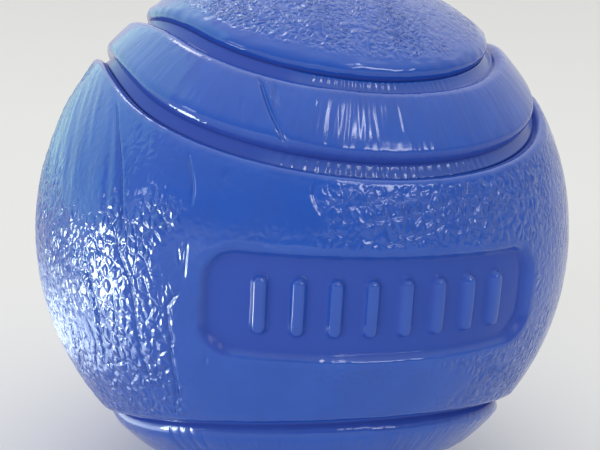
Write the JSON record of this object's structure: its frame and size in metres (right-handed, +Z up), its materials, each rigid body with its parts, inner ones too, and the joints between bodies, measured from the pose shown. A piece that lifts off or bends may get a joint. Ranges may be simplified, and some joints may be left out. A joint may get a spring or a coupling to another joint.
{
  "type": "bouncy ball",
  "caption": "Glossy blue rubber bouncy ball with a hollow bonded core, two pebbled dog-bone cover panels and a raised smooth band between grooves along their seam.",
  "frame": {"origin": "centre of the ball", "axes": "+Z up through the upper end lobe of the rear panel, -Y to the front through the middle of the front panel's belt, +X to the right"},
  "size_m": [0.063, 0.0628, 0.063],
  "materials": {
    "panel_rubber": "glossy moulded blue rubber with a fine leather-like pebble grain",
    "band_rubber": "glossy smooth moulded blue rubber",
    "core_rubber": "matt moulded rubber, not seen",
    "bond_rubber": "cured bonding rubber, not seen"
  },
  "bodies": {
    "root": {"core_lower_half": "core_rubber", "core_upper_half": "core_rubber", "core_bond_ring": "bond_rubber", "front_panel": "panel_rubber", "rear_panel": "panel_rubber", "seam_band": "band_rubber"}
  },
  "joints": []
}
